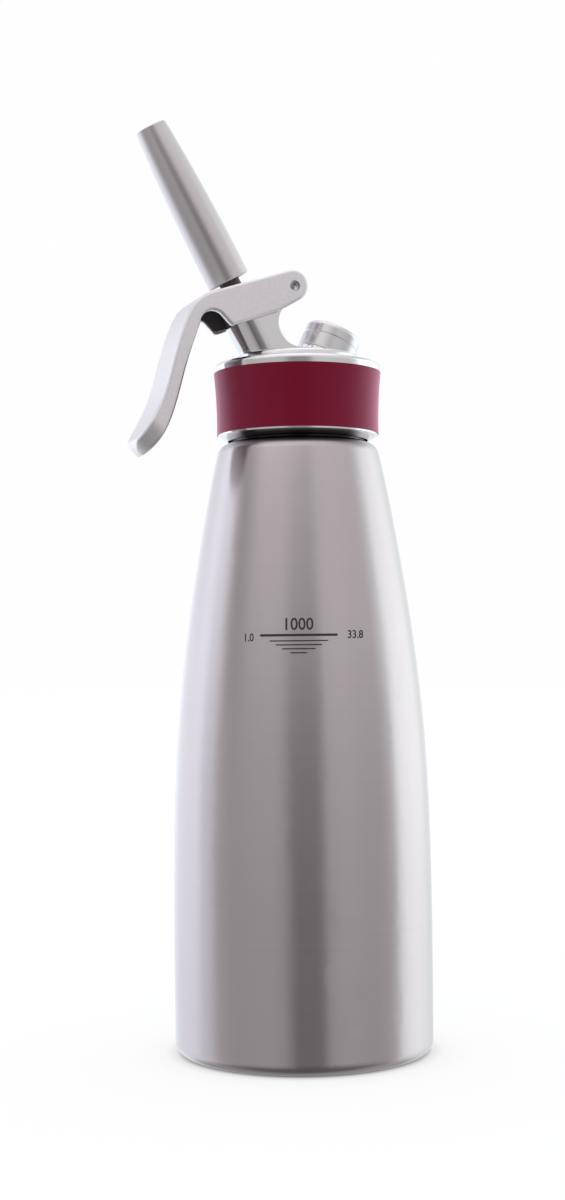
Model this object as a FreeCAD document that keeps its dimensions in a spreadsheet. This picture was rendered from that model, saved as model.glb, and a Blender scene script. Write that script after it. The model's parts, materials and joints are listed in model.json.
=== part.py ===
import FreeCAD, Part
import math
import os
import re
import Sketcher

# Whipped cream dispenser, one litre, all lengths in millimetres.
# Frame: origin at the centre of the bottle's base, on the surface it stands
# on, +Z up the bottle's axis.  The lever and the nozzle point towards -X, the
# gas port leans towards +X, and the part is symmetric about the plane Y = 0.

V = FreeCAD.Vector
os.makedirs("parts", exist_ok=True)
doc = FreeCAD.newDocument("whipped_cream_dispenser")

# ---------------------------------------------------------------- sizes ----
SIZES = {
    # bottle: outer wall as the poles of one curve, radius and height
    "foot_r": 43.4, "foot_corner": 4.3, "wall_a_r": 47.7, "wall_a_z": 4.3,
    "wall_b_r": 47.7, "wall_b_z": 24.3, "wall_c_r": 48.61, "wall_c_z": 96.83,
    "wall_d_r": 41.42, "wall_d_z": 165.05, "wall_e_r": 31.88, "wall_e_z": 214.0,
    "wall_f_r": 30.15, "wall_f_z": 220.93,
    "inner_a_r": 46.85, "inner_a_z": 4.45, "inner_b_r": 46.85, "inner_b_z": 24.32,
    "inner_c_r": 47.76, "inner_c_z": 96.84, "inner_d_r": 40.565, "inner_d_z": 165.0,
    "inner_e_r": 31.045, "inner_e_z": 213.83, "inner_f_r": 29.325, "inner_f_z": 220.725,
    "floor_r": 43.4, "floor_z": 1.0, "inner_corner": 3.45,
    "groove_in_r": 33.0, "groove_out_r": 36.0, "groove_deep": 0.35,
    "shoulder_r": 25.3, "shoulder_z": 224.8, "shoulder_arc": 5.1,
    "shoulder_in_z": 223.95, "shoulder_in_arc": 4.25,
    "neck_r": 24.8, "neck_foot_z": 225.3, "neck_bore_r": 23.4, "mouth_z": 244.9,
    "lip_roll": 0.5, "thread_r": 25.75, "thread_pitch": 4.0, "thread_rise": 10.6,
    "thread_start_z": 230.2, "thread_wide": 1.9, "thread_crest": 0.9,
    "nut_thread_r": 25.05, "nut_thread_start_z": 232.2, "nut_thread_wide": 1.6,
    "nut_thread_crest": 0.8, "nut_thread_rise": 9.0,
    # head casting, turned section
    "skirt_mouth_r": 26.4, "skirt_mouth_z": 225.6, "skirt_bore_r": 26.15,
    "skirt_bore_z": 225.85, "lip_r": 29.9, "lip_low_z": 227.5, "lip_top_z": 228.05,
    "seat_r": 28.9, "band_top_z": 251.1, "rim_r": 31.05, "rim_edge_z": 252.75,
    "rim_round": 1.65, "deck_z": 254.4, "deck_in_z": 254.75, "disc_r": 22.7,
    "disc_edge_z": 256.7, "disc_round": 0.8, "disc_z": 257.5,
    "ceiling_z": 250.5, "recess_r": 22.3, "seal_seat_z": 247.0,
    # heat band
    "band_gap": 0.03, "band_low_r": 30.2, "band_top_r": 31.2, "band_arc": 185.7,
    # head seal
    "seal_in_r": 22.6, "seal_out_r": 25.9, "seal_low_z": 244.93, "seal_top_z": 246.97,
    # valve axis: leans towards -X and passes through this point on the disc
    "valve_x": -12.03, "valve_z": 257.5, "valve_lean": 28.2,
    "tower_r": 9.3, "tower_top": 15.2, "tower_root": -5.5,
    "boss_r": 7.4, "boss_end": -13.4, "valve_bore_r": 4.2,
    "spring_bore_r": 7.0, "spring_floor": 7.5,
    # arm that carries the lever's pin
    "arm_half": 9.3, "pin_x": -4.8, "pin_z": 281.9, "pin_r": 1.9,
    "pin_seat_r": 1.92, "pin_half": 10.9, "pin_dish_r": 1.45, "pin_dish": 0.8,
    # gas port axis: leans towards +X
    "port_x": 11.9, "port_z": 260.0, "port_lean": 23.8,
    "port_boss_r": 10.95, "port_face": -2.2, "port_root": -9.0,
    "port_face_r": 11.2, "port_inner_r": 7.4, "port_inner_end": -12.4,
    "port_bore_r": 5.55,
    # valve stem, heights along the valve axis from the disc
    "stem_r": 4.12, "stem_neck_r": 3.3, "stem_tube_r": 2.2, "stem_foot": -13.5,
    "stem_end": -20.6, "stem_end_r": 2.5, "stem_floor": -12.6,
    "stem_step": 20.7, "stem_top": 41.2,
    # black cap pushed on the stem: skirt over the spring, disc, sleeve
    "push_bore_r": 3.33, "push_skirt_low": 13.2, "push_skirt_in_r": 6.2, "push_r": 6.75,
    "push_disc_low": 20.72, "push_disc_top": 22.4, "push_sleeve_r": 3.9, "push_top": 31.1,
    "ring_groove_r": 3.0, "ring_a": -6.0, "ring_b": 2.5, "ring_wide": 1.5,
    "port_hole_r": 1.1, "port_hole": -11.3,
    "ring_mid_r": 3.59, "ring_wire_r": 0.56,
    "washer_r": 5.7, "washer_top": -13.55, "washer_low": -15.5,
    "nut_af": 9.0, "nut_low": -19.4, "nut_top": -15.55,
    "guide_low": 7.55, "guide_top": 9.0, "guide_r": 6.95, "guide_bore_r": 4.2,
    "coil_r": 5.35, "coil_wire_r": 0.42, "coil_low": 9.45, "coil_high": 20.25,
    # nozzle and its adapter
    "adapter_low": 31.2, "adapter_top": 41.0, "adapter_r": 6.2, "adapter_bore_r": 3.32,
    "adapter_flange": 32.4,
    "tipseal_low": 41.25, "tipseal_top": 42.35, "tipseal_in_r": 4.3, "tipseal_out_r": 6.15,
    "nozzle_base": 30.61, "nozzle_r": 8.0, "nozzle_tip": 93.1, "nozzle_tip_r": 5.85,
    "nozzle_a_r": 8.05, "nozzle_a": 52.0, "nozzle_b_r": 7.45, "nozzle_b": 74.0,
    "nozzle_socket_r": 6.3, "nozzle_shoulder": 42.4, "nozzle_throat_r": 5.5,
    "nozzle_mouth_r": 4.85, "nozzle_chamfer": 0.45,
    # lever side outline
    "nose_x": -5.4, "nose_z": 282.1, "nose_r": 5.8,
    "nose_top_x": -7.144, "nose_top_z": 287.632, "nose_low_x": -2.63, "nose_low_z": 277.0,
    "top_end_x": -33.5, "top_end_z": 279.32,
    "back_a_x": -40.83, "back_a_z": 277.01, "back_b_x": -45.45, "back_b_z": 272.5,
    "back_c_x": -51.69, "back_c_z": 252.24, "back_d_x": -54.72, "back_d_z": 239.01,
    "back_e_x": -60.95, "back_e_z": 228.3, "tip_a_x": -63.75, "tip_a_z": 224.7,
    "tip_c_x": -64.95, "tip_c_z": 223.16, "tip_d_x": -61.9, "tip_d_z": 217.3,
    "tip_b_x": -60.0, "tip_b_z": 219.25,
    "tip_lean": 134.4, "tip_x": -64.45, "tip_z": 220.2, "tip_end": -1.0, "tip_corner": 11.5,
    "front_a_x": -55.35, "front_a_z": 224.02, "front_b_x": -50.55, "front_b_z": 234.6,
    "front_c_x": -46.72, "front_c_z": 251.32, "front_d_x": -42.73, "front_d_z": 261.92,
    "notch_a_x": -40.85, "notch_a_z": 267.2, "notch_r": 4.8,
    "notch_b_x": -32.6, "notch_b_z": 269.8, "cheek_a_x": -29.634, "cheek_a_z": 266.684,
    "cheek_b_x": -28.046, "cheek_b_z": 266.304, "cheek_round": 1.5,
    "cheek_c_x": -10.8, "cheek_c_z": 272.4,
    "lever_half": 12.0, "fork_half": 9.6, "fork_end_x": -13.0,
    "web_end_z": 283.27, "web_far_x": -33.0, "web_far_z": 276.97, "fork_round": 8.6,
    "fork_low_x": -41.0, "fork_low_z": 267.6,
    "slot_r": 4.4, "slot_run": 1.7, "lever_pin_bore_r": 1.98,
    "lever_edge": 1.1,
    # black pressure insert in the lever's fork
    "insert_half": 9.5, "insert_wall": 8.72, "insert_slot_r": 4.5, "lobe_half": 7.6,
    "ins_a_x": -15.2, "ins_a_z": 282.516, "ins_b_x": -33.0, "ins_b_z": 276.822,
    "ins_back_r": 8.45, "ins_c_x": -40.875, "ins_c_z": 268.9, "ins_d_x": -40.6, "ins_d_z": 268.9,
    "ins_notch_r": 5.1, "ins_e_x": -32.38, "ins_e_z": 269.99, "ins_f_x": -29.95, "ins_f_z": 267.25,
    "ins_g_x": -29.3, "ins_g_z": 267.3, "ins_h_x": -24.18, "ins_h_z": 268.52,
    "ins_i_x": -28.95, "ins_i_z": 276.93, "ins_j_x": -15.2, "ins_j_z": 281.266,
    "ins_k_x": -10.0, "ins_k_z": 282.905, "ins_l_x": -33.2, "ins_l_z": 275.59,
    "ins_room_r": 7.24, "ins_m_x": -39.65, "ins_m_z": 267.7,
    "lobe_r": 2.6, "lobe_a_x": -26.14, "lobe_a_z": 278.318, "lobe_b_x": -21.308, "lobe_b_z": 279.841,
    # gas port fitting, heights along the port axis
    "fit_r": 8.0, "fit_top": 5.6, "fit_shank_r": 5.5, "fit_end": -12.0,
    "fit_socket_r": 4.7, "fit_socket": 0.6, "fit_pin_r": 1.53, "fit_pin_floor": -4.2,
    "fit_gas_r": 0.6, "fit_ball_r": 2.6, "fit_ball_top": -5.4, "fit_seat": -1.2,
    "portseal_r": 7.9, "portseal_in_r": 5.75, "portseal_low": -2.15, "portseal_top": -1.25,
    "needle_r": 1.5, "needle_low": -4.1, "needle_shoulder": 2.4, "needle_top": 4.2,
    "needle_tip_r": 0.62, "needle_bore_r": 0.4,
    "chargeseal_in_r": 1.65, "chargeseal_out_r": 4.6, "chargeseal_low": 0.65, "chargeseal_top": 2.1,
    "ball_r": 1.75, "ball_high": -7.25,
    "checkcoil_r": 1.3, "checkcoil_wire_r": 0.2, "checkcoil_low": -10.55, "checkcoil_high": -8.85,
    "checknut_low": -12.0, "checknut_top": -10.8, "checknut_r": 2.55, "checknut_bore_r": 0.9,
    # protective cap on the port
    "cap_low": -1.9, "cap_top": 8.6, "cap_r": 10.8, "cap_step": 3.8, "cap_crown_r": 10.55,
    "cap_round": 1.9, "cap_bore_r": 8.3, "cap_bore_top": 6.6,
    "liner_r": 8.2, "liner_low": 5.68, "liner_top": 6.55,
}

sheet = doc.addObject("Spreadsheet::Sheet", "Sizes")
for row, (name, value) in enumerate(SIZES.items(), 1):
    sheet.set("A%d" % row, name)
    sheet.set("B%d" % row, str(value))
    sheet.setAlias("B%d" % row, name)
doc.recompute()

TERM = re.compile(r"([+-]?)\s*([A-Za-z_]\w*|\d+(?:\.\d+)?)\s*(/\s*2)?")


def val(text):
    """The number that a sum of sheet names and plain numbers stands for."""
    total = 0.0
    for sign, term, half in TERM.findall(str(text)):
        number = float(sheet.get(term)) if not term[0].isdigit() else float(term)
        total += (-1 if sign == "-" else 1) * number / (2 if half else 1)
    return total


def ref(text):
    """The same sum as an expression on the sheet."""
    return re.sub(r"[A-Za-z_]\w*", lambda m: "Sizes." + m.group(0), str(text))


def plane(body, role):
    return [o for o in body.Origin.OriginFeatures if o.Role == role][0]


def new_body(name):
    body = doc.addObject("PartDesign::Body", name)
    body.Label = name
    return body


def new_sketch(body, name, role="XZ_Plane", offset=None):
    sketch = body.newObject("Sketcher::SketchObject", name)
    sketch.AttachmentSupport = [(plane(body, role), "")]
    sketch.MapMode = "FlatFace"
    if offset is not None:
        sketch.AttachmentOffset = offset
    return sketch


def bind(sketch, index, text, tag):
    sketch.renameConstraint(index, tag)
    sketch.setExpression("Constraints." + tag, ref(text))


def pin_point(sketch, geo, pos, point, tag):
    """Hold one point of a sketch at coordinates given by the sheet."""
    x, y = val(point[0]), val(point[1])
    if abs(x) < 1e-9:
        sketch.addConstraint(Sketcher.Constraint("PointOnObject", geo, pos, -2))
    else:
        c = sketch.addConstraint(Sketcher.Constraint("DistanceX", -1, 1, geo, pos, x))
        bind(sketch, c, point[0], tag + "x")
    if abs(y) < 1e-9:
        sketch.addConstraint(Sketcher.Constraint("PointOnObject", geo, pos, -1))
    else:
        c = sketch.addConstraint(Sketcher.Constraint("DistanceY", -1, 1, geo, pos, y))
        bind(sketch, c, point[1], tag + "y")


def outline(sketch, start, steps, tag="a"):
    """A closed outline.  A step is ("line", end), ("arc", end, radius, turn)
    with turn +1 for an arc that bends to the left, or ("curve", poles, end)."""
    here = start
    ends = []
    splines = []
    for n, step in enumerate(steps):
        kind = step[0]
        end = step[2] if kind == "curve" else step[1]
        p = V(val(here[0]), val(here[1]), 0)
        q = V(val(end[0]), val(end[1]), 0)
        if kind == "line":
            g = sketch.addGeometry(Part.LineSegment(p, q), False)
            ends.append((g, 1, 2))
        elif kind == "arc":
            radius, turn = val(step[2]), step[3]
            chord = q - p
            half = chord.Length / 2
            rise = math.sqrt(max(radius * radius - half * half, 0.0))
            left = V(-chord.y, chord.x, 0)
            left.normalize()
            c = (p + q) * 0.5 + left * (rise * turn)
            a0 = math.atan2(p.y - c.y, p.x - c.x)
            a1 = math.atan2(q.y - c.y, q.x - c.x)
            if turn < 0:
                a0, a1 = a1, a0
            if a1 < a0:
                a1 += 2 * math.pi
            g = sketch.addGeometry(
                Part.ArcOfCircle(Part.Circle(c, V(0, 0, 1), radius), a0, a1), False)
            ends.append((g, 1, 2) if turn > 0 else (g, 2, 1))
            i = sketch.addConstraint(Sketcher.Constraint("Radius", g, radius))
            bind(sketch, i, step[2], "%sr%d" % (tag, n))
        else:
            poles = [p] + [V(val(a), val(b), 0) for a, b in step[1]] + [q]
            inner = len(poles) - 4
            curve = Part.BSplineCurve()
            curve.buildFromPolesMultsKnots(
                poles, [4] + [1] * inner + [4],
                [i / (inner + 1.0) for i in range(inner + 2)], False, 3)
            g = sketch.addGeometry(curve, False)
            ends.append((g, 1, 2))
            splines.append((g, step[1], n))
        here = end
    for n in range(len(steps)):
        g, _, last = ends[n]
        nxt = ends[(n + 1) % len(steps)]
        sketch.addConstraint(Sketcher.Constraint("Coincident", g, last, nxt[0], nxt[1]))
    here = start
    for n, step in enumerate(steps):
        pin_point(sketch, ends[n][0], ends[n][1], here, "%sp%d" % (tag, n))
        here = step[2] if step[0] == "curve" else step[1]
    for g, poles, n in splines:
        first = sketch.GeometryCount
        sketch.exposeInternalGeometry(g)
        for k, pole in enumerate(poles):
            pin_point(sketch, first + 1 + k, 3, pole, "%sk%d_%d" % (tag, n, k))
    return sketch


def rounded(sketch, centre, radius, tag):
    g = sketch.addGeometry(Part.Circle(V(val(centre[0]), val(centre[1]), 0), V(0, 0, 1), val(radius)), False)
    if abs(val(centre[0])) < 1e-9 and abs(val(centre[1])) < 1e-9:
        sketch.addConstraint(Sketcher.Constraint("Coincident", g, 3, -1, 1))
    else:
        pin_point(sketch, g, 3, centre, tag + "c")
    c = sketch.addConstraint(Sketcher.Constraint("Radius", g, val(radius)))
    bind(sketch, c, radius, tag + "r")
    return g


def polygon(points):
    return points[0], [("line", p) for p in points[1:]] + [("line", points[0])]


def turned(body, name, start, steps, cut=False, axis="V_Axis", role="XZ_Plane"):
    sketch = outline(new_sketch(body, name + "_section", role), start, steps)
    feature = body.newObject("PartDesign::Groove" if cut else "PartDesign::Revolution", name)
    feature.Profile = sketch
    feature.ReferenceAxis = (sketch, [axis])
    feature.Angle = 360.0
    body.Tip = feature
    doc.recompute()
    return feature


def volume(body):
    doc.recompute()
    return body.Shape.Volume


def slab(body, name, start, steps, half, cut=False, role="XZ_Plane"):
    """A pad or pocket of one outline, to the same depth on both sides."""
    before = volume(body) if cut else 0.0
    sketch = outline(new_sketch(body, name + "_outline", role), start, steps)
    feature = body.newObject("PartDesign::Pocket" if cut else "PartDesign::Pad", name)
    feature.Profile = sketch
    feature.SideType = "Symmetric"
    feature.Type = "Length"
    feature.Length = 2 * val(half)
    feature.setExpression("Length", "2 * (%s)" % ref(half))
    body.Tip = feature
    after = volume(body)
    if cut and after >= before - 1e-6:
        raise RuntimeError(name + " cuts nothing")
    return feature


def tube_at(body, name, offset, centre, radius, length, cut=False, role="XY_Plane", reverse=False):
    """A round pad or pocket along the normal of an offset sketch plane.
    A pad grows along +normal, a pocket is made to bite along +normal too."""
    before = volume(body) if cut else 0.0
    sketch = new_sketch(body, name + "_circle", role, offset)
    rounded(sketch, centre, radius, "c")
    feature = body.newObject("PartDesign::Pocket" if cut else "PartDesign::Pad", name)
    feature.Profile = sketch
    feature.Type = "Length"
    feature.Length = val(length)
    feature.setExpression("Length", ref(length))
    feature.Reversed = bool(cut) != bool(reverse)
    body.Tip = feature
    after = volume(body)
    if cut and after >= before - 1e-6:
        raise RuntimeError(name + " cuts nothing")
    return feature


def lean(x, z, angle, along=0.0, across=0.0):
    """Placement with its origin on a leaning axis in the plane Y = 0 and its
    local Z along that axis; angle is positive towards +X."""
    a = math.radians(angle)
    base = V(x + along * math.sin(a) + across * math.cos(a), 0,
             z + along * math.cos(a) - across * math.sin(a))
    return FreeCAD.Placement(base, FreeCAD.Rotation(V(0, 1, 0), angle))


def on_valve(along=0.0, across=0.0):
    return lean(val("valve_x"), val("valve_z"), -val("valve_lean"), along, across)


def on_port(along=0.0, across=0.0):
    return lean(val("port_x"), val("port_z"), val("port_lean"), along, across)


def round_edges(body, name, radius, chosen):
    """Fillet the edges of the tip that the test picks out."""
    doc.recompute()
    base = body.Tip
    names = ["Edge%d" % (i + 1) for i, e in enumerate(base.Shape.Edges) if chosen(e)]
    if not names:
        raise RuntimeError(name + " finds no edge")
    feature = body.newObject("PartDesign::Fillet", name)
    feature.Base = (base, names)
    feature.Radius = val(radius)
    feature.setExpression("Radius", ref(radius))
    body.Tip = feature
    doc.recompute()
    if "Invalid" in feature.State or "Error" in feature.State or feature.Shape.isNull():
        raise RuntimeError(name + " failed")
    return feature


def ring(name, in_r, out_r, low, high, place=None):
    body = new_body(name)
    turned(body, name + "_ring", *polygon([(in_r, low), (out_r, low), (out_r, high), (in_r, high)]))
    if place is not None:
        body.Placement = place
    return body


def torus(name, mid_r, wire_r, height, place):
    t = doc.addObject("Part::Torus", name)
    t.setExpression("Radius1", ref(mid_r))
    t.setExpression("Radius2", ref(wire_r))
    t.Radius1, t.Radius2 = val(mid_r), val(wire_r)
    t.Placement = place
    return t


def coil(name, mid_r, wire_r, low, high, turns, place):
    """A round-wire compression spring along local Z, one face for each turn."""
    helix = Part.makeLongHelix((val(high) - val(low)) / turns, val(high) - val(low), val(mid_r))
    helix.translate(V(0, 0, val(low)))
    start = V(val(mid_r), 0, val(low))
    wire = Part.Wire([Part.makeCircle(val(wire_r), start, V(0, 1, 0))])
    shape = Part.Wire(helix.Edges).makePipeShell([wire], True, True)
    solid = shape if shape.ShapeType == "Solid" else Part.Solid(shape)
    if solid.Volume < 0:
        solid.reverse()
    feature = doc.addObject("Part::Feature", name)
    feature.Label = name
    feature.Shape = solid
    feature.Placement = place
    return feature


nodes = []


def keep(obj):
    nodes.append(obj)
    return obj


# --------------------------------------------------------------- bottle ----
bottle = keep(new_body("bottle"))
turned(bottle, "bottle_shell", ("0", "0"), [
    ("line", ("groove_in_r", "0")),
    ("line", ("groove_in_r+groove_deep", "groove_deep")),
    ("line", ("groove_out_r-groove_deep", "groove_deep")),
    ("line", ("groove_out_r", "0")),
    ("line", ("foot_r", "0")),
    ("arc", ("wall_a_r", "wall_a_z"), "foot_corner", 1),
    ("curve", [("wall_b_r", "wall_b_z"), ("wall_c_r", "wall_c_z"), ("wall_d_r", "wall_d_z"),
               ("wall_e_r", "wall_e_z")], ("wall_f_r", "wall_f_z")),
    ("arc", ("shoulder_r", "shoulder_z"), "shoulder_arc", 1),
    ("line", ("neck_r", "neck_foot_z")),
    ("line", ("neck_r", "mouth_z-lip_roll")),
    ("arc", ("neck_r-lip_roll", "mouth_z"), "lip_roll", 1),
    ("line", ("neck_bore_r+lip_roll", "mouth_z")),
    ("arc", ("neck_bore_r", "mouth_z-lip_roll"), "lip_roll", 1),
    ("line", ("neck_bore_r", "shoulder_in_z")),
    ("line", ("shoulder_r", "shoulder_in_z")),
    ("arc", ("inner_f_r", "inner_f_z"), "shoulder_in_arc", -1),
    ("curve", [("inner_e_r", "inner_e_z"), ("inner_d_r", "inner_d_z"), ("inner_c_r", "inner_c_z"),
               ("inner_b_r", "inner_b_z")], ("inner_a_r", "inner_a_z")),
    ("arc", ("floor_r", "floor_z"), "inner_corner", -1),
    ("line", ("0", "floor_z")),
    ("line", ("0", "0")),
])
# three turns of round-crested thread on the neck
thread = new_sketch(bottle, "neck_thread_section")
outline(thread, *polygon([
    ("neck_r-0.3", "thread_start_z-thread_wide/2"), ("neck_r", "thread_start_z-thread_wide/2"),
    ("thread_r", "thread_start_z-thread_crest/2"), ("thread_r", "thread_start_z+thread_crest/2"),
    ("neck_r", "thread_start_z+thread_wide/2"), ("neck_r-0.3", "thread_start_z+thread_wide/2")]))
helix = bottle.newObject("PartDesign::AdditiveHelix", "neck_thread")
helix.Profile = thread
helix.ReferenceAxis = (thread, ["V_Axis"])
helix.Mode = "pitch-height-angle"
helix.Pitch = val("thread_pitch")
helix.Height = val("thread_rise")
helix.setExpression("Pitch", ref("thread_pitch"))
helix.setExpression("Height", ref("thread_rise"))
bottle.Tip = helix
doc.recompute()

# ----------------------------------------------------------------- head ----
head = keep(new_body("head_body"))
turned(head, "head_casting", ("skirt_mouth_r", "skirt_mouth_z"), [
    ("line", ("lip_r", "lip_low_z")),
    ("line", ("lip_r", "lip_top_z")),
    ("line", ("seat_r", "lip_top_z")),
    ("line", ("seat_r", "band_top_z")),
    ("line", ("rim_r", "band_top_z")),
    ("line", ("rim_r", "rim_edge_z")),
    ("arc", ("rim_r-rim_round", "deck_z"), "rim_round", 1),
    ("line", ("disc_r", "deck_in_z")),
    ("line", ("disc_r", "disc_edge_z")),
    ("arc", ("disc_r-disc_round", "disc_z"), "disc_round", 1),
    ("line", ("0", "disc_z")),
    ("line", ("0", "ceiling_z")),
    ("line", ("recess_r", "ceiling_z")),
    ("line", ("recess_r", "seal_seat_z")),
    ("line", ("skirt_bore_r", "seal_seat_z")),
    ("line", ("skirt_bore_r", "skirt_bore_z")),
    ("line", ("skirt_mouth_r", "skirt_mouth_z")),
])
# leaning tower of the valve, and its boss under the deck
tube_at(head, "valve_tower", on_valve(val("tower_root")), ("0", "0"), "tower_r", "tower_top-tower_root")
tube_at(head, "valve_boss", on_valve(val("boss_end")), ("0", "0"), "boss_r", "tower_root-boss_end")


def valve_xz(across, along):
    p = on_valve(along, across).Base
    return p.x, p.z


# arm behind the tower, with the scoop between it and the gas port
SCOOP_X, SCOOP_Z, SCOOP_R, ARM_R = -1.7, 268.6, 8.7, 4.956
arm_pts = {
    "arm_a": valve_xz(0.0, val("tower_root") + 1.0), "arm_f": valve_xz(0.0, val("tower_top")),
    "arm_e": valve_xz(8.6, val("tower_top")),
}
px, pz = val("pin_x"), val("pin_z")
gap = math.hypot(SCOOP_X - px, SCOOP_Z - pz)
arm_extra = {
    "arm_a_x": arm_pts["arm_a"][0], "arm_a_z": arm_pts["arm_a"][1],
    "arm_b_x": 2.0, "arm_low_z": arm_pts["arm_a"][1], "scoop_low_x": SCOOP_X,
    "scoop_low_z": SCOOP_Z - SCOOP_R, "scoop_r": SCOOP_R,
    "arm_c_x": px + (gap - SCOOP_R) * (SCOOP_X - px) / gap,
    "arm_c_z": pz + (gap - SCOOP_R) * (SCOOP_Z - pz) / gap,
    "arm_nose_r": gap - SCOOP_R, "arm_nose_x": px + gap - SCOOP_R, "arm_nose_z": pz,
    "arm_d_x": px - (gap - SCOOP_R) * math.sqrt(0.5), "arm_d_z": pz + (gap - SCOOP_R) * math.sqrt(0.5),
    "arm_e_x": arm_pts["arm_e"][0], "arm_e_z": arm_pts["arm_e"][1],
    "arm_f_x": arm_pts["arm_f"][0], "arm_f_z": arm_pts["arm_f"][1],
}
first = len(SIZES) + 1
for row, (name, value) in enumerate(arm_extra.items(), first):
    sheet.set("A%d" % row, name)
    sheet.set("B%d" % row, "%.5f" % value)
    sheet.setAlias("B%d" % row, name)
doc.recompute()
slab(head, "lever_arm", ("arm_a_x", "arm_a_z"), [
    ("line", ("arm_b_x", "arm_low_z")),
    ("line", ("arm_b_x", "scoop_low_z")),
    ("line", ("scoop_low_x", "scoop_low_z")),
    ("arc", ("arm_c_x", "arm_c_z"), "scoop_r", -1),
    ("arc", ("arm_nose_x", "arm_nose_z"), "arm_nose_r", 1),
    ("arc", ("arm_d_x", "arm_d_z"), "arm_nose_r", 1),
    ("line", ("arm_e_x", "arm_e_z")),
    ("line", ("arm_f_x", "arm_f_z")),
    ("line", ("arm_a_x", "arm_a_z")),
], "arm_half")
# gas port boss, leaning the other way, and its inner end
tube_at(head, "port_boss", on_port(val("port_root")), ("0", "0"), "port_boss_r", "port_face-port_root")
tube_at(head, "port_inner", on_port(val("port_inner_end")), ("0", "0"), "port_inner_r",
        "port_root-port_inner_end")
tube_at(head, "port_spotface", on_port(val("port_face")), ("0", "0"), "port_face_r", "20", cut=True)
tube_at(head, "port_bore", on_port(val("port_inner_end") - 1.0), ("0", "0"), "port_bore_r", "16", cut=True)
tube_at(head, "valve_bore", on_valve(val("boss_end") - 1.0), ("0", "0"), "valve_bore_r", "40", cut=True)
tube_at(head, "spring_well", on_valve(val("spring_floor")), ("0", "0"), "spring_bore_r", "12", cut=True)


def side_hole(body, name, centre, radius, half):
    before = volume(body)
    sketch = new_sketch(body, name + "_circle", "XZ_Plane")
    rounded(sketch, centre, radius, "c")
    feature = body.newObject("PartDesign::Pocket", name)
    feature.Profile = sketch
    feature.SideType = "Symmetric"
    feature.Type = "Length"
    feature.Length = 2 * val(half)
    feature.setExpression("Length", "2 * (%s)" % ref(half))
    body.Tip = feature
    if volume(body) >= before - 1e-6:
        raise RuntimeError(name + " cuts nothing")
    return feature


side_hole(head, "pin_seat", ("pin_x", "pin_z"), "pin_seat_r", "arm_half+1")
# thread inside the skirt, half a pitch above the neck's
nut_thread = new_sketch(head, "head_thread_section")
outline(nut_thread, *polygon([
    ("skirt_bore_r+0.3", "nut_thread_start_z-nut_thread_wide/2"),
    ("skirt_bore_r+0.3", "nut_thread_start_z+nut_thread_wide/2"),
    ("skirt_bore_r", "nut_thread_start_z+nut_thread_wide/2"),
    ("nut_thread_r", "nut_thread_start_z+nut_thread_crest/2"),
    ("nut_thread_r", "nut_thread_start_z-nut_thread_crest/2"),
    ("skirt_bore_r", "nut_thread_start_z-nut_thread_wide/2")]))
nut_helix = head.newObject("PartDesign::AdditiveHelix", "head_thread")
nut_helix.Profile = nut_thread
nut_helix.ReferenceAxis = (nut_thread, ["V_Axis"])
nut_helix.Mode = "pitch-height-angle"
nut_helix.Pitch = val("thread_pitch")
nut_helix.Height = val("nut_thread_rise")
nut_helix.setExpression("Pitch", ref("thread_pitch"))
nut_helix.setExpression("Height", ref("nut_thread_rise"))
head.Tip = nut_helix
doc.recompute()

# silicone heat band in the groove between lip and rim
band = keep(new_body("silicone_band"))
turned(band, "band_ring", ("seat_r+band_gap", "lip_top_z+band_gap"), [
    ("line", ("band_low_r", "lip_top_z+band_gap")),
    ("arc", ("band_top_r", "band_top_z-band_gap"), "band_arc", -1),
    ("line", ("seat_r+band_gap", "band_top_z-band_gap")),
    ("line", ("seat_r+band_gap", "lip_top_z+band_gap")),
])

keep(ring("head_seal", "seal_in_r", "seal_out_r", "seal_low_z", "seal_top_z"))

# ---------------------------------------------------------------- valve ----
stem = keep(new_body("valve_stem"))
turned(stem, "stem_turned", ("0", "stem_end"), [
    ("line", ("stem_end_r", "stem_end")),
    ("line", ("stem_end_r", "stem_foot")),
    ("line", ("stem_r", "stem_foot")),
    ("line", ("stem_r", "ring_a")),
    ("line", ("ring_groove_r", "ring_a")),
    ("line", ("ring_groove_r", "ring_a+ring_wide")),
    ("line", ("stem_r", "ring_a+ring_wide")),
    ("line", ("stem_r", "ring_b")),
    ("line", ("ring_groove_r", "ring_b")),
    ("line", ("ring_groove_r", "ring_b+ring_wide")),
    ("line", ("stem_r", "ring_b+ring_wide")),
    ("line", ("stem_r", "stem_step")),
    ("line", ("stem_neck_r", "stem_step")),
    ("line", ("stem_neck_r", "stem_top-0.4")),
    ("line", ("stem_neck_r-0.4", "stem_top")),
    ("line", ("stem_tube_r", "stem_top")),
    ("line", ("stem_tube_r", "stem_floor")),
    ("line", ("0", "stem_floor")),
    ("line", ("0", "stem_end")),
])
side_hole(stem, "stem_inlet", ("0", "port_hole"), "port_hole_r", "stem_r+1")
stem.Placement = on_valve()

# black cap on the stem: its skirt hides the spring, the lever's lobes press on
# its disc and its sleeve passes up through the lever to the nozzle
push = keep(new_body("stem_cap"))
turned(push, "push_turned", ("push_bore_r", "push_disc_low"), [
    ("line", ("push_skirt_in_r", "push_disc_low")),
    ("line", ("push_skirt_in_r", "push_skirt_low")),
    ("line", ("push_r-0.2", "push_skirt_low")),
    ("line", ("push_r", "push_skirt_low+0.2")),
    ("line", ("push_r", "push_disc_top-0.3")),
    ("line", ("push_r-0.3", "push_disc_top")),
    ("line", ("push_sleeve_r", "push_disc_top")),
    ("line", ("push_sleeve_r", "push_top-0.2")),
    ("line", ("push_sleeve_r-0.2", "push_top")),
    ("line", ("push_bore_r", "push_top")),
    ("line", ("push_bore_r", "push_disc_low")),
])
push.Placement = on_valve()

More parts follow.
